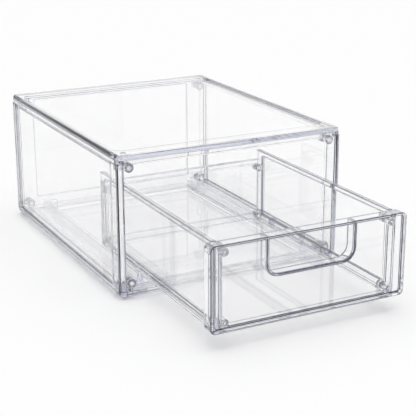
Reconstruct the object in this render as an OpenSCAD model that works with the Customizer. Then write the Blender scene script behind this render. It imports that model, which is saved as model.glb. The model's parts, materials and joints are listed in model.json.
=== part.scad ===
// Clear stackable drawer box: a casing of five moulded panels, a rail and a sill, held
// together by pins at its corners, and a drawer that slides on two runners.
// X is the width, -Y the side that the drawer opens towards, Z is up.
// The origin is the centre of the flat underside that the box stands on.

/* [Casing] */
// Width over the side panels
casing_w = 225; // [200:1:300]
// Depth from the front of the posts to the back
casing_d = 278; // [240:1:340]
// Height from the underside of the plinth to the top rim
casing_h = 130; // [120:1:180]
// Thickness of every clear sheet
sheet_t = 2.2; // [1.8:0.1:2.4]
// Thickness of the border of the top and bottom panels
border_t = 4.4; // [4.2:0.1:5]
// Radius of the casing's upright corners on the top and bottom panels
corner_r = 6; // [5:0.5:7]
// Radius of the casing's long edges at the top and bottom rims
edge_r = 3.5; // [1:0.5:4]
// Radius of the outer edge of the posts
post_r = 3; // [2:0.5:4]
// Thickness of the front posts, across the width
post_t = 6.5; // [6:0.1:7]
// Thickness of the rear posts, across the width
rear_post_t = 6; // [5.5:0.1:6.5]
// Depth of the rear posts
rear_post_d = 12; // [11.5:0.5:14]
// Height of the side skirts of the top panel, from the top rim
skirt_h = 7.5; // [7:0.1:8]
// Thickness of the side skirts
skirt_t = 2.4; // [2:0.1:2.6]
// Depth of the front rail and the front sill
rail_d = 8; // [7:0.5:9]
// Height of the front rail and of the back panel's top bar
rail_h = 4.6; // [4:0.1:5]
// Height of the back panel's bottom bar
foot_bar_h = 10; // [8:0.5:12]
// Width of the back panel's upright bars
side_bar_w = 17; // [10:0.5:20]
// How far the sheets lie inside the faces of the posts, bars and rims
sheet_inset = 1.2; // [1:0.1:1.5]

/* [Stacking] */
// How far the plinth stands below the bottom rim
plinth_h = 2.4; // [2.2:0.1:3]
// Depth of the recess in the top panel that takes the plinth of the box above
recess_depth = 2; // [1.6:0.1:2]
// Border beside the recess
recess_side = 6.5; // [6:0.5:8]
// Border in front of and behind the recess
recess_end = 17; // [16:0.5:18]
// Corner radius of the recess
recess_r = 8; // [7:0.5:10]
// Gap all round between a plinth and the recess it stands in
nest_gap = 0.5; // [0.3:0.1:1]

/* [Corner pins] */
// Radius of the pins
pin_r = 2; // [1.8:0.1:2.2]
// Clearance round a pin in its bores
pin_clear = 0.05; // [0.03:0.01:0.1]
// Radius of the pins' heads
head_r = 3.1; // [2.8:0.1:3.2]
// Thickness of the pins' heads
head_t = 0.6; // [0.5:0.1:0.8]
// Outer radius of the casing's lugs
lug_r = 4; // [3.6:0.1:4.2]
// Distance of the casing's pins from its side faces
lug_inset = 12; // [12:0.5:13]
// Distance of the casing's pins from the top and bottom rims
lug_rise = 11.5; // [11.5:0.5:12.5]
// Length of one lug
lug_len = 5; // [4.5:0.1:5]
// Gap between neighbouring pieces of one assembly
seam = 0.1; // [0.05:0.05:0.2]

/* [Runners] */
// Height of the strip along the foot of each side panel, above the bottom panel's border
strip_h = 3.6; // [3:0.1:4]
// Width of the side panels' bottom flange
flange_w = 9; // [8:0.5:9]
// Width of the bottom panel's raised border, where the runners begin
runner_inset = 15.6; // [15:0.1:16]
// Height of the runners' base above the floor of the casing
runner_h = 6.6; // [6:0.1:7]
// Width of the rib that carries the drawer
carry_w = 3.4; // [3:0.1:4]
// Thickness of the rib that guides the drawer sideways
guide_t = 2.3; // [2:0.1:2.5]
// Height of the guide rib above the underside of the drawer
guide_rise = 2.7; // [2.5:0.1:3]
// Gap between the drawer and what it slides on or past
slide_gap = 0.3; // [0.2:0.05:0.4]
// Length of the stop at the front end of each runner
stop_len = 4; // [3:0.5:6]

/* [Drawer] */
// Clear space between each end of the drawer front and the casing's side
side_gap = 20.5; // [20:0.5:28]
// Height of the drawer
drawer_h = 73.6; // [60:0.2:90]
// Height of the drawer's underside above the casing's bottom rim
drawer_lift = 12.3; // [12:0.1:13]
// How far the drawer stands out at rest
drawer_out = 131; // [0:1:150]
// How far the drawer stands out when it meets its stops
drawer_limit = 180; // [150:1:185]
// Depth of the drawer over its front and its back wall
drawer_d = 232; // [225:1:250]
// How much lower the drawer's back wall is than its sides
back_drop = 9; // [0:0.5:15]
// Clear space between the closed drawer and the stops behind it
rear_gap = 1; // [0.5:0.1:3]
// Depth of the drawer front, which is a shallow tray
tray_d = 11.6; // [11.6:0.1:12.5]
// Thickness of the tray's top and bottom, and of the finger pull's lip
tray_t = 2.3; // [2:0.1:2.5]
// Width of the proud border at the ends of the drawer front
end_band = 4; // [3:0.1:6]
// Height of the proud border along its foot
foot_band = 4.4; // [3:0.1:6]
// Corner radius of the drawer front
tray_r = 4.5; // [3:0.5:6]
// How far the drawer walls lie inside the ends of the drawer front
wall_inset = 6.1; // [6:0.1:7]
// Width of the drawer walls' rims
wall_t = 5; // [4.8:0.1:5.2]
// Height of the drawer walls' top rim
wall_top_h = 4.5; // [4:0.1:5]
// Height of the drawer walls' bottom rim
wall_low_h = 9; // [8.8:0.1:10]
// Width of the ledge that the drawer floor lies on
ledge_w = 3.5; // [3:0.1:4]
// Radius of the drawer's pins
drawer_pin_r = 1.6; // [1.4:0.1:1.8]
// Radius of their heads
drawer_head_r = 2.4; // [2.2:0.1:2.6]
// Outer radius of the drawer's lugs
drawer_lug_r = 3.6; // [3.4:0.1:3.8]
// Distance of the drawer's pins from its underside and top
drawer_lug_rise = 7.2; // [7:0.1:8]

/* [Finger pull] */
// Width of the finger pull's opening
pull_w = 80; // [70:1:100]
// Distance from the top of the drawer to the bottom of the opening
pull_drop = 32.4; // [28:0.2:36]
// Radius of the opening's lower corners
pull_r = 10; // [6:0.5:12]

/* [Hidden] */
$fn = 64;

clear_plastic = [0.88, 0.92, 0.96];

// Faces of the casing
half_w = casing_w / 2;
front_y = -casing_d / 2;
rear_y = casing_d / 2;
rim_z = plinth_h;
frame_low = rim_z + border_t;
frame_high = casing_h - border_t;

// Pin axes of the casing, and the three lugs that each pin joins: the outermost belongs
// to the rail, sill or back panel, the next to a side panel, the last to top or bottom
lug_x = half_w - lug_inset;
low_lug_z = rim_z + lug_rise;
high_lug_z = casing_h - lug_rise;
outer_lug = [head_t, head_t + lug_len];
middle_lug = [outer_lug[1] + seam, outer_lug[1] + seam + lug_len];
inner_lug = [middle_lug[1] + seam, middle_lug[1] + seam + lug_len];
post_d = inner_lug[1] + 1;
web = lug_r / 2;

// Drawer at rest
drawer_w = casing_w - 2 * side_gap;
tray_y = front_y - drawer_out;
tray_end = tray_y + tray_d;
back_bar_d = outer_lug[1] - seam;
drawer_rear = tray_y + drawer_d;
low_z = rim_z + drawer_lift;
high_z = low_z + drawer_h;
wall_x = -drawer_w / 2 + wall_inset;
inner_x = wall_x + wall_t;
drawer_lug_x = inner_x + drawer_head_r + seam;
floor_z = low_z + tray_t;
low_pin_z = low_z + drawer_lug_rise;
high_pin_z = high_z - drawer_lug_rise;
back_pin_z = high_pin_z - back_drop;
tray_floor_y = tray_y + sheet_inset + sheet_t;
wall_lug = [tray_end + seam, tray_end + seam + lug_len];

// Runner
runner_x = -half_w + runner_inset;
carry_x = wall_x + (wall_t - carry_w) / 2;
guide_x = wall_x - slide_gap - guide_t;
runner_front = front_y + recess_end + seam;
runner_rear = rear_y - recess_end - seam;
closed_rear = front_y + drawer_d + rear_gap;
clip_low = low_z + guide_rise + slide_gap;
clip_high = low_z + wall_low_h;
clip_len = 6;
clip_peg_r = 1.5;
clip_y = tray_y + (runner_front + stop_len + slide_gap - (front_y - drawer_limit));

// A cuboid given by its range on each axis
module block(x, y, z) {
    translate([x[0], y[0], z[0]])
        cube([x[1] - x[0], y[1] - y[0], z[1] - z[0]]);
}

// A rectangle with round corners, centred
module rounded_rect(w, d, r) {
    square([w - 2 * r, d], center = true);
    square([w, d - 2 * r], center = true);
    for (x = [-1, 1], y = [-1, 1])
        translate([x * (w / 2 - r), y * (d / 2 - r)]) circle(r);
}

module rounded_plate(w, d, r, z) {
    translate([0, 0, z[0]])
        linear_extrude(z[1] - z[0]) rounded_rect(w, d, r);
}

// A plate of the casing's width and depth, round along the casing's long edges too
module rim_plate(z) {
    intersection() {
        rounded_plate(casing_w, casing_d, corner_r, z);
        translate([0, rear_y, (rim_z + casing_h) / 2]) rotate([90, 0, 0])
            linear_extrude(casing_d) rounded_rect(casing_w, casing_h - rim_z, edge_r);
    }
}

module both_sides() {
    children();
    mirror([1, 0, 0]) children();
}

// A cylinder along Y
module rod(r, x, y, z) {
    translate([x, y[0], z])
        rotate([-90, 0, 0]) cylinder(r = r, h = y[1] - y[0]);
}

// A range measured inwards from the casing's front or from its back
function from_front(span) = [front_y + span[0], front_y + span[1]];
function from_back(span) = [rear_y - span[1], rear_y - span[0]];

// Bores for the casing's pins, at all four corners of one end or of both
module casing_bores(spans) {
    for (y = spans, z = [low_lug_z, high_lug_z])
        both_sides() rod(pin_r + pin_clear, -lug_x, [y[0] - 1, y[1] + 1], z);
}

// A lug below a horizontal piece, or above one, with the web that joins it
module hanging_lug(y, z, joined_z) {
    both_sides() {
        rod(lug_r, -lug_x, y, z);
        block([-lug_x - web, -lug_x + web], y, [min(z, joined_z), max(z, joined_z)]);
    }
}

module top_panel() color(clear_plastic) {
    ends = [from_front(inner_lug), from_back(inner_lug)];
    difference() {
        union() {
            rim_plate([frame_high, casing_h]);
            intersection() {
                rounded_plate(casing_w, casing_d, corner_r,
                    [casing_h - skirt_h, frame_high]);
                both_sides() block([-half_w, -half_w + skirt_t], [front_y, rear_y],
                    [casing_h - skirt_h, frame_high]);
            }
            for (y = ends) hanging_lug(y, high_lug_z, frame_high);
        }
        rounded_plate(casing_w - 2 * recess_side, casing_d - 2 * recess_end, recess_r,
            [casing_h - recess_depth, casing_h + 1]);
        casing_bores(ends);
    }
}

module bottom_panel() color(clear_plastic) {
    ends = [from_front(inner_lug), from_back(inner_lug)];
    plinth_w = casing_w - 2 * (recess_side + nest_gap);
    plinth_d = casing_d - 2 * (recess_end + nest_gap);
    strip_top = frame_low + strip_h;
    difference() {
        union() {
            difference() {
                union() {
                    rim_plate([rim_z, frame_low]);
                    both_sides() block([-half_w + flange_w + seam, runner_x - seam],
                        [front_y + post_d, rear_y - post_d], [rim_z, strip_top]);
                }
                block([runner_x - seam, -runner_x + seam],
                    [front_y + recess_end, rear_y - recess_end], [rim_z, strip_top + 1]);
            }
            rounded_plate(plinth_w, plinth_d, recess_r - nest_gap, [0, rim_z]);
            for (y = ends) hanging_lug(y, low_lug_z, frame_low);
        }
        block([-half_w + post_t + seam / 2, half_w - post_t - seam / 2],
            [front_y - 1, front_y + rail_d + seam], [rim_z - 1, frame_low + 1]);
        casing_bores(ends);
    }
}

// The left side panel: posts, a flange along its foot, a top rim and the sheet
module side_panel() {
    outer = -half_w;
    rim_low = casing_h - skirt_h - 2.7;
    ends = [from_front(middle_lug), from_back(middle_lug)];
    difference() {
        union() {
            intersection() {
                rounded_plate(casing_w, casing_d, post_r, [frame_low, frame_high]);
                union() {
                    block([outer, outer + post_t], [front_y, front_y + post_d],
                        [frame_low, frame_high]);
                    block([outer, outer + rear_post_t], [rear_y - rear_post_d, rear_y],
                        [frame_low, frame_high]);
                    block([outer + sheet_inset / 2, outer + rear_post_t],
                        [front_y + post_r, rear_y - post_r], [rim_low, frame_high]);
                    block([outer, outer + rear_post_t], [front_y + post_r, rear_y - post_r],
                        [frame_low, frame_low + strip_h]);
                    block([outer + sheet_inset, outer + sheet_inset + sheet_t],
                        [front_y + post_r, rear_y - post_r], [frame_low, frame_high]);
                }
            }
            block([outer + post_r, outer + flange_w], [front_y + post_d, rear_y - post_d],
                [frame_low, frame_low + strip_h]);
            for (y = ends, z = [low_lug_z, high_lug_z]) {
                rod(lug_r, -lug_x, y, z);
                block([outer + post_r, -lug_x], y, [z - web, z + web]);
            }
        }
        block([outer - 1, outer + skirt_t + seam], [front_y - 1, rear_y + 1],
            [casing_h - skirt_h - seam, casing_h]);
        casing_bores(ends);
    }
}

module left_panel() color(clear_plastic) side_panel();

module right_panel() color(clear_plastic) mirror([1, 0, 0]) side_panel();

module back_panel() color(clear_plastic) {
    edge_x = half_w - rear_post_t - seam;
    bar_y = [rear_y - back_bar_d, rear_y];
    end = from_back(outer_lug);
    difference() {
        union() {
            block([-edge_x, edge_x],
                [rear_y - sheet_inset - sheet_t, rear_y - sheet_inset],
                [frame_low, frame_high]);
            block([-edge_x, edge_x], bar_y, [frame_low, frame_low + foot_bar_h]);
            block([-edge_x, edge_x], bar_y, [frame_high - rail_h, frame_high]);
            both_sides() {
                block([-edge_x, -edge_x + side_bar_w], bar_y, [frame_low, frame_high]);
                for (z = [low_lug_z, high_lug_z]) rod(lug_r, -lug_x, end, z);
            }
        }
        casing_bores([end]);
        for (z = [low_lug_z, high_lug_z])
            both_sides() rod(lug_r + seam, -lug_x, [end[1], rear_y + 1], z);
    }
}

// The bar under the top panel's front border
module front_rail() color(clear_plastic) {
    edge_x = half_w - post_t - seam / 2;
    end = from_front(outer_lug);
    difference() {
        union() {
            block([-edge_x, edge_x], [front_y, front_y + rail_d],
                [frame_high - rail_h, frame_high]);
            hanging_lug(end, high_lug_z, frame_high);
        }
        both_sides() {
            rod(pin_r + pin_clear, -lug_x, [front_y - 1, end[1] + 1], high_lug_z);
            rod(lug_r + seam, -lug_x, [front_y - 1, end[0]], high_lug_z);
            rod(lug_r + seam, -lug_x, [end[1], front_y + rail_d + 1], high_lug_z);
        }
    }
}

// The bar along the front of the bottom panel
module front_sill() color(clear_plastic) {
    edge_x = half_w - post_t - seam / 2 - seam;
    end = from_front(outer_lug);
    difference() {
        union() {
            block([-edge_x, edge_x], [front_y, front_y + rail_d], [rim_z, frame_low + 0.4]);
            hanging_lug(end, low_lug_z, frame_low);
        }
        both_sides() rod(pin_r + pin_clear, -lug_x, [end[0] - 1, end[1] + 1], low_lug_z);
    }
}

// The left runner: a base strip, the rib that carries the drawer, the rib that guides it,
// the stop that the clip meets when the drawer is fully out, and the one behind the drawer
module runner() {
    length = [runner_front, runner_rear];
    inner = carry_x + carry_w;
    nose_r = (inner - runner_x) / 2;
    difference() {
        union() {
            block([runner_x, inner], length, [rim_z, rim_z + runner_h]);
            block([carry_x, inner], length, [rim_z, low_z - slide_gap]);
            block([guide_x, guide_x + guide_t], length, [rim_z, low_z + guide_rise]);
            block([guide_x, guide_x + guide_t], [runner_front, runner_front + stop_len],
                [rim_z, clip_high]);
            block([guide_x, inner], [closed_rear, closed_rear + stop_len],
                [rim_z, clip_high]);
        }
        translate([runner_x, runner_front, rim_z]) difference() {
            translate([-1, -1, -1]) cube([nose_r / 2 + 1, nose_r / 2 + 1, runner_h + 2]);
            translate([nose_r / 2, nose_r / 2, -2]) cylinder(r = nose_r / 2, h = runner_h + 4);
        }
    }
}

module left_runner() color(clear_plastic) runner();

module right_runner() color(clear_plastic) mirror([1, 0, 0]) runner();

// A headed pin along Y: its head lies at the start of the range, or at the end of it
module pin(r, head, x, y, z, head_first = false) {
    rod(r, x, y, z);
    rod(head, x, head_first ? [y[0], y[0] + head_t] : [y[1] - head_t, y[1]], z);
}

module casing_front_pins() color(clear_plastic) {
    for (z = [low_lug_z, high_lug_z])
        both_sides() pin(pin_r, head_r, -lug_x, from_front([0, inner_lug[1]]), z, true);
}

module casing_rear_pins() color(clear_plastic) {
    for (z = [low_lug_z, high_lug_z])
        both_sides() pin(pin_r, head_r, -lug_x, from_back([0, inner_lug[1]]), z);
}

// The outline of the finger pull, open at the top: a rectangle with round lower corners
module pull_outline(grow) {
    w = pull_w + 2 * grow;
    r = pull_r + grow;
    low = -pull_drop - grow;
    translate([-w / 2, low + r]) square([w, -tray_t - low - r]);
    translate([-w / 2 + r, low]) square([w - 2 * r, r]);
    for (x = [-1, 1]) translate([x * (w / 2 - r), low + r]) circle(r);
}

// Extrudes an outline drawn from the drawer's top edge backwards through a range of Y
module drawer_outline(y) {
    translate([0, y[1], high_z])
        rotate([90, 0, 0]) linear_extrude(y[1] - y[0]) children();
}

module drawer_front() color(clear_plastic) {
    border_r = tray_r - tray_t;
    difference() {
        union() {
            difference() {
                drawer_outline([tray_y, tray_end])
                    translate([0, -drawer_h / 2]) rounded_rect(drawer_w, drawer_h, tray_r);
                drawer_outline([tray_y - 1, tray_y + sheet_inset])
                    translate([0, -(drawer_h + tray_t - foot_band) / 2])
                    rounded_rect(drawer_w - 2 * end_band, drawer_h - tray_t - foot_band,
                        border_r);
                drawer_outline([tray_floor_y, tray_end + 1])
                    translate([0, -drawer_h / 2])
                    rounded_rect(-2 * inner_x, drawer_h - 2 * tray_t, border_r);
            }
            drawer_outline([tray_y, tray_end]) pull_outline(tray_t);
            for (z = [low_pin_z, high_pin_z])
                both_sides() rod(drawer_lug_r, drawer_lug_x,
                    [tray_floor_y - sheet_t / 2, tray_end], z);
        }
        drawer_outline([tray_y - 1, tray_end + 1]) pull_outline(0);
        for (z = [low_pin_z, high_pin_z])
            both_sides() rod(drawer_pin_r + pin_clear, drawer_lug_x,
                [tray_floor_y, tray_end + 1], z);
    }
}

// The left wall of the drawer, with the ledge that the floor lies on
module drawer_wall() {
    x = [wall_x, inner_x];
    length = [tray_end + seam, drawer_rear];
    rear_lug = [drawer_rear - middle_lug[1], drawer_rear - middle_lug[0]];
    difference() {
        union() {
            block(x, length, [high_z - wall_top_h, high_z]);
            block(x, length, [low_z, low_z + wall_low_h]);
            block([wall_x + 1, wall_x + 1 + sheet_t], length, [low_z, high_z]);
            block(x, [tray_end + seam, tray_end + wall_t], [low_z, high_z]);
            block(x, [rear_lug[0], drawer_rear], [low_z, high_z]);
            block([wall_x, inner_x + ledge_w],
                [tray_end + seam, drawer_rear - back_bar_d - seam], [low_z, floor_z]);
            for (z = [low_pin_z, high_pin_z]) wall_boss(wall_lug, z);
            for (z = [low_pin_z, back_pin_z]) wall_boss(rear_lug, z);
        }
        for (z = [low_pin_z, high_pin_z])
            rod(drawer_pin_r + pin_clear, drawer_lug_x, [tray_end, wall_lug[1] + 1], z);
        for (z = [low_pin_z, back_pin_z])
            rod(drawer_pin_r + pin_clear, drawer_lug_x, [rear_lug[0] - 1, drawer_rear], z);
        translate([wall_x - 1, clip_y + clip_len / 2, (clip_low + clip_high) / 2])
            rotate([0, 90, 0]) cylinder(r = clip_peg_r + pin_clear, h = wall_t + 2);
    }
}

// A lug on the inside of the wall, with the web that joins it
module wall_boss(y, z) {
    rod(drawer_lug_r, drawer_lug_x, y, z);
    block([wall_x, drawer_lug_x], y, [z - web, z + web]);
}

module drawer_left_wall() color(clear_plastic) drawer_wall();

module drawer_right_wall() color(clear_plastic) mirror([1, 0, 0]) drawer_wall();

module drawer_back_wall() color(clear_plastic) {
    edge_x = -inner_x - seam;
    top_z = high_z - back_drop;
    bar_y = [drawer_rear - back_bar_d, drawer_rear];
    lug_y = [drawer_rear - outer_lug[1], drawer_rear - outer_lug[0]];
    difference() {
        union() {
            block([-edge_x, edge_x], [drawer_rear - 1 - sheet_t, drawer_rear - 1],
                [low_z, top_z]);
            block([-edge_x, edge_x], bar_y, [top_z - wall_top_h, top_z]);
            block([-edge_x, edge_x], bar_y, [low_z, low_z + wall_low_h]);
            for (z = [low_pin_z, back_pin_z])
                intersection() {
                    both_sides() rod(drawer_lug_r, drawer_lug_x, lug_y, z);
                    block([-edge_x, edge_x], lug_y, [low_z, top_z]);
                }
        }
        for (z = [low_pin_z, back_pin_z])
            both_sides() {
                rod(drawer_pin_r + pin_clear, drawer_lug_x, [bar_y[0] - 1, bar_y[1] + 1], z);
                rod(drawer_head_r + seam / 2, drawer_lug_x, [lug_y[1], bar_y[1] + 1], z);
            }
    }
}

module drawer_floor() color(clear_plastic) {
    edge_x = -inner_x - seam;
    notch_x = -drawer_lug_x - drawer_lug_r - seam;
    depth = [tray_floor_y + seam, drawer_rear - back_bar_d - seam];
    cut_z = [floor_z - 1, floor_z + sheet_t + 1];
    difference() {
        block([-edge_x, edge_x], depth, [floor_z, floor_z + sheet_t]);
        both_sides() {
            block([-edge_x - 1, -notch_x], [tray_y, wall_lug[1] + head_t + seam], cut_z);
            block([-edge_x - 1, -notch_x], [drawer_rear - middle_lug[1] - seam, drawer_rear],
                cut_z);
        }
    }
}

// The clip on the left wall that meets the runner's stop
module stop_clip() {
    block([guide_x + slide_gap, wall_x], [clip_y, clip_y + clip_len], [clip_low, clip_high]);
    translate([wall_x - 1, clip_y + clip_len / 2, (clip_low + clip_high) / 2])
        rotate([0, 90, 0]) cylinder(r = clip_peg_r, h = wall_t + 1);
}

module left_stop_clip() color(clear_plastic) stop_clip();

module right_stop_clip() color(clear_plastic) mirror([1, 0, 0]) stop_clip();

module drawer_front_pins() color(clear_plastic) {
    for (z = [low_pin_z, high_pin_z])
        both_sides() pin(drawer_pin_r, drawer_head_r, drawer_lug_x,
            [tray_floor_y + seam, wall_lug[1] + head_t], z);
}

module drawer_rear_pins() color(clear_plastic) {
    for (z = [low_pin_z, back_pin_z])
        both_sides() pin(drawer_pin_r, drawer_head_r, drawer_lug_x,
            [drawer_rear - middle_lug[1], drawer_rear], z);
}

top_panel();
bottom_panel();
left_panel();
right_panel();
back_panel();
front_rail();
front_sill();
left_runner();
right_runner();
casing_front_pins();
casing_rear_pins();
drawer_front();
drawer_left_wall();
drawer_right_wall();
drawer_back_wall();
drawer_floor();
left_stop_clip();
right_stop_clip();
drawer_front_pins();
drawer_rear_pins();
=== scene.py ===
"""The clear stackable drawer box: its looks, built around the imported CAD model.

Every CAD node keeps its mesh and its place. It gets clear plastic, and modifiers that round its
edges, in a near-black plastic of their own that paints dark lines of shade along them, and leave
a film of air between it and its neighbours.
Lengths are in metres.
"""

import itertools
import json
import math

import bmesh
import bpy
import numpy as np
from mathutils import Matrix, Vector
from mathutils.bvhtree import BVHTree


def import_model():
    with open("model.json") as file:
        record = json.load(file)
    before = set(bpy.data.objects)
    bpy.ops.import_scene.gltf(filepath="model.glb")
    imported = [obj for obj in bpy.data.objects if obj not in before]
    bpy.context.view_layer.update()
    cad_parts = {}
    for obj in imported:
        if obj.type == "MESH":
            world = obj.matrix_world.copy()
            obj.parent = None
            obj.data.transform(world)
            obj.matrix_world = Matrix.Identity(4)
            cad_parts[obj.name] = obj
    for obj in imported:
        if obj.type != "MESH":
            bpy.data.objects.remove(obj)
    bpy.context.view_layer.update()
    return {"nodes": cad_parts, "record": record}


WHITE = (1.0, 1.0, 1.0, 1)

# Plastics: what the sheets let through, the near-black and pale plastics that paint shade lines
# on the edges, and the tint in their depth
CLEAR = (0.985, 0.985, 0.987, 1)
# painted shade: the dark lines that refraction draws along the rounded edges are put in as
# near-black plastic, paler on the inner pieces
EDGE = (0.05, 0.05, 0.09, 1)          # nearly black, as in the photo
PAINTED_PALE_EDGE_SHADE = (0.8, 0.8, 0.86, 1)       # of the inner pieces
TINT = (0.74, 0.76, 0.84, 1)
TINT_DENSITY = 5                      # per metre
PIN_TINT_DENSITY = 16
SHEET_SMUDGE, PIN_SMUDGE, EDGE_SMUDGE = 0.01, 0.02, 0.03    # the most roughness
PLASTIC_IOR = 1.5
SMUDGE_WAVES, SMUDGE_DETAIL = 35, 2.0         # waves per metre
MOULDING_WAVES, MOULDING_DETAIL = 28, 1.0
MOULDING_DEPTH, MOULDING_STRENGTH = 0.001, 0.01
NOISE_MIDDLE = (0.3, 0.7)             # where most values of a noise texture lie

# The pieces whose rounded edges get the paler painted shade lines
INNER_PIECES = {"left_runner", "right_runner", "front_rail", "bottom_panel", "back_panel",
                "left_stop_clip", "right_stop_clip", "drawer_floor", "drawer_back_wall",
                "casing_front_pins", "casing_rear_pins", "drawer_front_pins",
                "drawer_rear_pins"}
SHEET_SLOT, EDGE_SLOT = 0, 1          # each piece's materials
SEAM_SLOT = 0.5                       # the mean of the two
SEAM_SPREAD = 0.4                     # how far from it the mean at a seam may be

# Edges: the width of the bevel that rounds them, for most pieces and for some by name
EDGE_ROUND = 0.00045
EDGE_ROUNDS = {"top_panel": 0.0002, "bottom_panel": 0.0003, "back_panel": 0.00025,
               "left_panel": 0.0006, "right_panel": 0.0006, "front_rail": 0.0002,
               "left_runner": 0.00015, "right_runner": 0.00015,
               "drawer_front": 0.0007, "drawer_back_wall": 0.0002,
               "casing_front_pins": 0.0002, "casing_rear_pins": 0.0002,
               "drawer_front_pins": 0.0002, "drawer_rear_pins": 0.0002}
BEVEL_SEGMENTS = 3
FLATNESS = 100                        # how much the large faces set the shading at their edges
AIR_FILM = 0.00002                    # between pieces that touch
WELD = 0.000001                       # corners closer than this are one
FLAT = math.radians(0.5)              # faces that meet at less are one face
SHARP = math.radians(40)              # edges sharper than this are rounded
SMOOTH_TURN = math.radians(35)        # edges that turn less go on from each other
NOT_SHARP = -1                        # the width of an edge that stays as it is

# Room for a bevel: the shares of a face's room that the bevel at one of its edges may take
OUTER_SHARE = 0.45
INNER_SHARE = 0.2
WALL_SHARE = 0.75                     # at an outer edge, where the face ends at a wall
ROOM_STEPS = (0.2, 0.4, 0.6, 0.8, 1.0)
PROBE_SPACING = 0.01                  # between the spots where an edge is measured
PROBE_INSET = 0.0001                  # from the edge's ends, or a quarter of a short edge
OFF_FACE = 0.0001                     # a spot further from the mesh than this is past the face
CLEAR_OF_FACE = 0.00001               # where a ray starts, off the face it belongs to
ON_EDGE = 0.00001                     # an edge closer than this to a sharp one is part of it

# Studio: heights are sines of the angle above the horizon
CEILING_FROM, CEILING_TO = 0.58, 0.68
CEILING = (0.08, 0.08, 0.15, 1)
OVERHEAD = 3.0                        # how much the light leans to the zenith
SHADE = (0.86, 0.86, 0.86, 1)         # light that comes through the box
FLOOR = (0.985, 0.985, 0.985, 1)
FLOOR_SIZE = 8
CLEAR_BOUNCES = 48                    # more would turn the left edge of the top pale
DIFFUSE_BOUNCES = 8

# Camera: where it stands, and which way it looks
CAMERA_AT = Vector((-0.4644, -0.9834, 0.3809))
CAMERA_YAW = math.radians(27.43)      # from +Y towards +X
CAMERA_PITCH = math.radians(17.98)    # below the horizon
CAMERA_ROLL = math.radians(0.18)
CAMERA_LENS_MM = 97.8
CAMERA_SENSOR_MM = 36
CAMERA_REACH = 20


# ---------------------------------------------------------------- shader nodes

def add(tree, kind, **sockets):
    """A node with some of its inputs set."""
    node = tree.nodes.new(kind)
    for name, value in sockets.items():
        node.inputs[name.replace("_", " ")].default_value = value
    return node


def add_math(tree, operation, first, second):
    """A math node's result; each input is a socket or a plain number."""
    node = tree.nodes.new("ShaderNodeMath")
    node.operation = operation
    for socket, value in zip(node.inputs, (first, second)):
        if isinstance(value, float):
            socket.default_value = value
        else:
            tree.links.new(value, socket)
    return node.outputs[0]


def mix(tree, factor, first, second):
    """Mixes two colours, each a socket or a plain colour."""
    node = tree.nodes.new("ShaderNodeMix")
    node.data_type = "RGBA"
    sockets = [i for i in node.inputs if i.enabled]
    for socket, value in zip(sockets, (factor, first, second)):
        if isinstance(value, tuple):
            socket.default_value = value
        else:
            tree.links.new(value, socket)
    return [o for o in node.outputs if o.enabled][0]


def noise(tree, scale, detail):
    """A noise texture in object space; scale is in waves per metre."""
    where = tree.nodes.new("ShaderNodeTexCoord")
    texture = add(tree, "ShaderNodeTexNoise", Scale=scale, Detail=detail)
    tree.links.new(where.outputs["Object"], texture.inputs["Vector"])
    return texture.outputs["Fac"]


def spread(tree, value, low, high):
    """Maps the middle of a noise's range to low..high."""
    bottom, top = NOISE_MIDDLE
    ramp = add(tree, "ShaderNodeMapRange", From_Min=bottom, From_Max=top, To_Min=low, To_Max=high)
    tree.links.new(value, ramp.inputs["Value"])
    return ramp.outputs["Result"]


# ---------------------------------------------------------------- plastics

def clear_plastic(name, colour, density, smudge):
    """Polished clear plastic: faint moulding waves, smudges in the gloss, a tint in its depth."""
    material = bpy.data.materials.new(name)
    material.use_nodes = True
    tree = material.node_tree
    tree.nodes.clear()
    out = tree.nodes.new("ShaderNodeOutputMaterial")
    shader = tree.nodes.new("ShaderNodeBsdfPrincipled")
    shader.inputs["Base Color"].default_value = colour
    shader.inputs["Transmission Weight"].default_value = 1.0
    shader.inputs["IOR"].default_value = PLASTIC_IOR
    smudges = spread(tree, noise(tree, SMUDGE_WAVES, SMUDGE_DETAIL), 0.0, smudge)
    tree.links.new(smudges, shader.inputs["Roughness"])
    bump = add(tree, "ShaderNodeBump", Strength=MOULDING_STRENGTH, Distance=MOULDING_DEPTH)
    tree.links.new(noise(tree, MOULDING_WAVES, MOULDING_DETAIL), bump.inputs["Height"])
    tree.links.new(bump.outputs["Normal"], shader.inputs["Normal"])
    tree.links.new(shader.outputs[0], out.inputs["Surface"])
    depth = add(tree, "ShaderNodeVolumeAbsorption", Color=TINT, Density=density)
    tree.links.new(depth.outputs[0], out.inputs["Volume"])
    return material


# ---------------------------------------------------------------- room at the edges

def room(tree, spot, inward, reach):
    """How far a flat face goes on from a spot at its edge, up to reach."""
    found = 0
    for share in ROOM_STEPS:
        if tree.find_nearest(spot + inward * reach * share)[3] > OFF_FACE:
            break
        found = share
    return reach * found


def share_of_room(tree, spot, normal, inward, width):
    """The share of a face's room that the bevel at an outer edge may take. Where the face
    ends at a wall, the inner corner there takes less than half, so the edge may take more."""
    start = spot + (normal + inward) * CLEAR_OF_FACE
    wall = tree.ray_cast(start, inward, width / OUTER_SHARE)[0]
    return OUTER_SHARE if wall is None else WALL_SHARE


def edge_room(tree, edge, width):
    """The widest bevel, up to width, that the two faces at an edge have room for."""
    start, end = (vert.co for vert in edge.verts)
    along = (end - start).normalized()
    length = (end - start).length
    inset = min(PROBE_INSET, length / 4)
    gaps = 2 + int(length / PROBE_SPACING)
    least = width
    for face in edge.link_faces:
        loop = next(loop for loop in edge.link_loops if loop.face == face)
        inward = face.normal.cross(along if loop.vert.co == start else -along)
        for i in range(gaps + 1):
            spot = start + along * (inset + (length - 2 * inset) * i / gaps)
            share = INNER_SHARE
            if edge.is_convex:
                share = share_of_room(tree, spot, face.normal, inward, width)
            least = min(least, share * room(tree, spot, inward, width / share))
    return least


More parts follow.
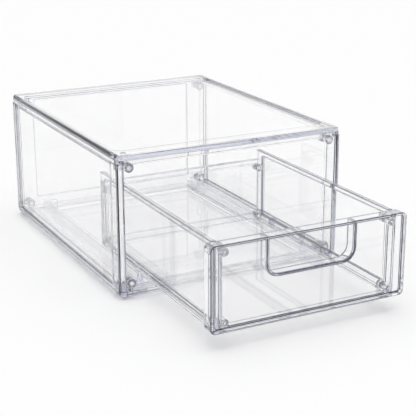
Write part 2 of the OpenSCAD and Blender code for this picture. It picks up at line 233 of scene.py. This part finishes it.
def level(widths):
    """Gives edges that go smoothly on from each other the width of the narrowest."""
    turns = []
    for vert in {vert for edge in widths for vert in edge.verts}:
        sharp = [edge for edge in vert.link_edges if edge in widths]
        for first, second in itertools.combinations(sharp, 2):
            coming = vert.co - second.other_vert(vert).co
            going = first.other_vert(vert).co - vert.co
            if going.angle(coming) < SMOOTH_TURN:
                turns.append((first, second))
    changed = True
    while changed:
        changed = False
        for first, second in turns:
            least = min(widths[first], widths[second])
            if max(widths[first], widths[second]) > least:
                widths[first] = widths[second] = least
                changed = True


def sharp_edges(mesh, width):
    """The starts, the ends and the bevel widths of a mesh's sharp edges, as arrays."""
    shell = bmesh.new()
    shell.from_mesh(mesh)
    bmesh.ops.remove_doubles(shell, verts=shell.verts, dist=WELD)
    tree = BVHTree.FromBMesh(shell)
    bmesh.ops.dissolve_limit(shell, angle_limit=FLAT, verts=shell.verts, edges=shell.edges)
    shell.normal_update()
    widths = {edge: edge_room(tree, edge, width) for edge in shell.edges
              if len(edge.link_faces) == 2 and edge.calc_face_angle() > SHARP}
    level(widths)
    starts = np.array([edge.verts[0].co for edge in widths])
    ends = np.array([edge.verts[1].co for edge in widths])
    values = np.array(list(widths.values()))
    shell.free()
    return starts, ends, values


def edge_widths(mesh, width):
    """For each edge of the mesh, the bevel it has room for, or NOT_SHARP."""
    starts, ends, values = sharp_edges(mesh, width)
    spans = ends - starts
    squares = (spans ** 2).sum(1)
    result = []
    for edge in mesh.edges:
        off = np.zeros(len(values))
        for index in edge.vertices:
            corner = np.array(mesh.vertices[index].co)
            share = np.clip(((corner - starts) * spans).sum(1) / squares, 0, 1)
            nearest_spots = starts + spans * share[:, None]
            off = np.maximum(off, np.linalg.norm(nearest_spots - corner, axis=1))
        nearest = off.argmin()
        result.append(values[nearest] if off[nearest] < ON_EDGE else NOT_SHARP)
    return result


# ---------------------------------------------------------------- rounded edges

def material_seams():
    """Geometry nodes that mark the edges between two materials as sharp. At such an edge the
    mean of its two faces' slots lies between the slots, and elsewhere it is one of them."""
    tree = bpy.data.node_groups.new("material_seams", "GeometryNodeTree")
    for way in ("INPUT", "OUTPUT"):
        tree.interface.new_socket("Geometry", in_out=way, socket_type="NodeSocketGeometry")
    start, end = (tree.nodes.new(kind) for kind in ("NodeGroupInput", "NodeGroupOutput"))
    slot = tree.nodes.new("GeometryNodeInputMaterialIndex")
    faces = tree.nodes.new("GeometryNodeFieldOnDomain")
    faces.data_type, faces.domain = "FLOAT", "FACE"
    tree.links.new(slot.outputs[0], faces.inputs[0])
    both = tree.nodes.new("FunctionNodeCompare")
    both.operation = "EQUAL"
    both.inputs["B"].default_value = SEAM_SLOT
    both.inputs["Epsilon"].default_value = SEAM_SPREAD
    tree.links.new(faces.outputs[0], both.inputs["A"])
    shade = add(tree, "GeometryNodeSetShadeSmooth", Shade_Smooth=False)
    shade.domain = "EDGE"
    tree.links.new(start.outputs[0], shade.inputs["Geometry"])
    tree.links.new(both.outputs[0], shade.inputs["Selection"])
    tree.links.new(shade.outputs[0], end.inputs[0])
    return tree


def mark_edges(mesh, width):
    """Writes each edge's share of the bevel width as its weight. A sharp edge that has no
    room for a bevel stays sharp, and all else is shaded smooth."""
    if "custom_normal" in mesh.attributes:
        mesh.attributes.remove(mesh.attributes["custom_normal"])
    for polygon in mesh.polygons:
        polygon.use_smooth = True
    widths = edge_widths(mesh, width)
    weights = mesh.attributes.new("bevel_weight_edge", "FLOAT", "EDGE")
    for edge, found in zip(mesh.edges, widths):
        weights.data[edge.index].value = max(0, found) / width
        edge.use_edge_sharp = bool(found == 0)


def soften(piece, width, seams):
    """Rounds a CAD node's edges, keeps its faces flat, and leaves a film of air round it."""
    mark_edges(piece.data, width)
    weld = piece.modifiers.new("weld", "WELD")
    weld.merge_threshold = WELD
    film = piece.modifiers.new("film", "DISPLACE")
    film.direction = "NORMAL"
    film.mid_level = 0
    film.strength = -AIR_FILM
    bevel = piece.modifiers.new("bevel", "BEVEL")
    bevel.width = width
    bevel.segments = BEVEL_SEGMENTS
    # the bevel's faces take the edge plastic, which paints dark lines of shade along every
    # rounded edge
    bevel.material = EDGE_SLOT
    bevel.limit_method = "WEIGHT"
    bevel.use_clamp_overlap = False
    bevel.loop_slide = False
    sharp_seams = piece.modifiers.new("seams", "NODES")
    sharp_seams.node_group = seams
    shade = piece.modifiers.new("shade", "WEIGHTED_NORMAL")
    shade.mode = "FACE_AREA"
    shade.weight = FLATNESS
    shade.keep_sharp = True


# ---------------------------------------------------------------- stage

def camera():
    """The camera at the photo's place, with the photo's lens."""
    yaw, pitch = CAMERA_YAW, CAMERA_PITCH
    right = Vector((math.cos(yaw), -math.sin(yaw), 0))
    forward = Vector((math.sin(yaw) * math.cos(pitch), math.cos(yaw) * math.cos(pitch),
                      -math.sin(pitch)))
    right = Matrix.Rotation(CAMERA_ROLL, 3, forward) @ right
    up = right.cross(forward)
    data = bpy.data.cameras.new("camera")
    data.lens = CAMERA_LENS_MM
    data.sensor_width = CAMERA_SENSOR_MM
    data.clip_end = CAMERA_REACH
    thing = bpy.data.objects.new("camera", data)
    turn = Matrix((right, up, -forward)).transposed().to_4x4()
    thing.matrix_world = Matrix.Translation(CAMERA_AT) @ turn
    bpy.context.collection.objects.link(thing)
    bpy.context.scene.camera = thing


def floor():
    """A plain pale floor without gloss."""
    bpy.ops.mesh.primitive_plane_add(size=FLOOR_SIZE)
    thing = bpy.context.object
    thing.name = "floor"
    material = bpy.data.materials.new("floor")
    material.use_nodes = True
    shader = material.node_tree.nodes["Principled BSDF"]
    shader.inputs["Base Color"].default_value = FLOOR
    shader.inputs["Roughness"].default_value = 1.0
    shader.inputs["Specular IOR Level"].default_value = 0.0
    thing.data.materials.append(material)


def lean_to_zenith(tree, height):
    """Light that grows with its height, and still adds up to 1 on a level floor."""
    rise = add_math(tree, "POWER", height, OVERHEAD)
    return add_math(tree, "MULTIPLY", 1 + OVERHEAD / 2, rise)


def world():
    """A white studio. Clear plastic sees its ceiling dark, which draws the edges that bend
    light upwards. What lights the floor leans to the zenith, and is a little weaker where it
    comes through the plastic."""
    studio = bpy.data.worlds.new("studio")
    bpy.context.scene.world = studio
    studio.use_nodes = True
    studio.cycles.sampling_method = "NONE"
    tree = studio.node_tree
    background = tree.nodes["Background"]
    where = tree.nodes.new("ShaderNodeTexCoord")
    split = tree.nodes.new("ShaderNodeSeparateXYZ")
    tree.links.new(where.outputs["Generated"], split.inputs[0])
    height = split.outputs["Z"]
    ceiling = add(tree, "ShaderNodeMapRange", From_Min=CEILING_FROM, From_Max=CEILING_TO)
    tree.links.new(height, ceiling.inputs["Value"])
    path = tree.nodes.new("ShaderNodeLightPath")
    seen = mix(tree, ceiling.outputs["Result"], WHITE, CEILING)
    light = mix(tree, path.outputs["Is Transmission Ray"], WHITE, SHADE)
    lights = add(tree, "ShaderNodeClamp")
    tree.links.new(path.outputs["Diffuse Depth"], lights.inputs["Value"])
    tree.links.new(mix(tree, lights.outputs["Result"], seen, light), background.inputs["Color"])
    strength = add(tree, "ShaderNodeMix", A=1.0)
    tree.links.new(lights.outputs["Result"], strength.inputs["Factor"])
    tree.links.new(lean_to_zenith(tree, height), strength.inputs["B"])
    tree.links.new(strength.outputs["Result"], background.inputs["Strength"])


def render_settings():
    """The plain view transform, and how Cycles follows light through the plastic."""
    scene = bpy.context.scene
    scene.view_settings.view_transform = "Standard"
    cycles = scene.cycles
    cycles.caustics_reflective = cycles.caustics_refractive = True
    cycles.blur_glossy = 0.0
    cycles.sample_clamp_indirect = 0.0
    cycles.max_bounces = cycles.transmission_bounces = cycles.glossy_bounces = CLEAR_BOUNCES
    cycles.diffuse_bounces = DIFFUSE_BOUNCES


# ---------------------------------------------------------------- the object

def dress(nodes, subparts):
    """Gives each CAD node its plastic by its slot in the record, and its rounded edges, in a
    plastic that paints dark lines of shade along them.
    """
    plastics = {
        "casing_plastic": clear_plastic("casing_plastic", CLEAR, TINT_DENSITY, SHEET_SMUDGE),
        "drawer_plastic": clear_plastic("drawer_plastic", CLEAR, TINT_DENSITY, SHEET_SMUDGE),
        "pin_plastic": clear_plastic("pin_plastic", CLEAR, PIN_TINT_DENSITY, PIN_SMUDGE),
    }
    # painted shade: near-black plastic for the rounded edges, and a paler one for the inner
    # pieces' edges
    edges = clear_plastic("painted_shade_edges", EDGE, TINT_DENSITY, EDGE_SMUDGE)
    pale_edge_shade = clear_plastic("pale_edge_shade", PAINTED_PALE_EDGE_SHADE, TINT_DENSITY, EDGE_SMUDGE)
    seams = material_seams()
    for entry in subparts:
        name = entry["node"]
        piece = nodes[name]
        piece.data.materials.clear()
        piece.data.materials.append(plastics[entry["material_slot"]])
        piece.data.materials.append(pale_edge_shade if name in INNER_PIECES else edges)
        soften(piece, EDGE_ROUNDS.get(name, EDGE_ROUND), seams)


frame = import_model()

dress(frame["nodes"], frame["record"]["subparts"])
camera()
floor()
world()
render_settings()
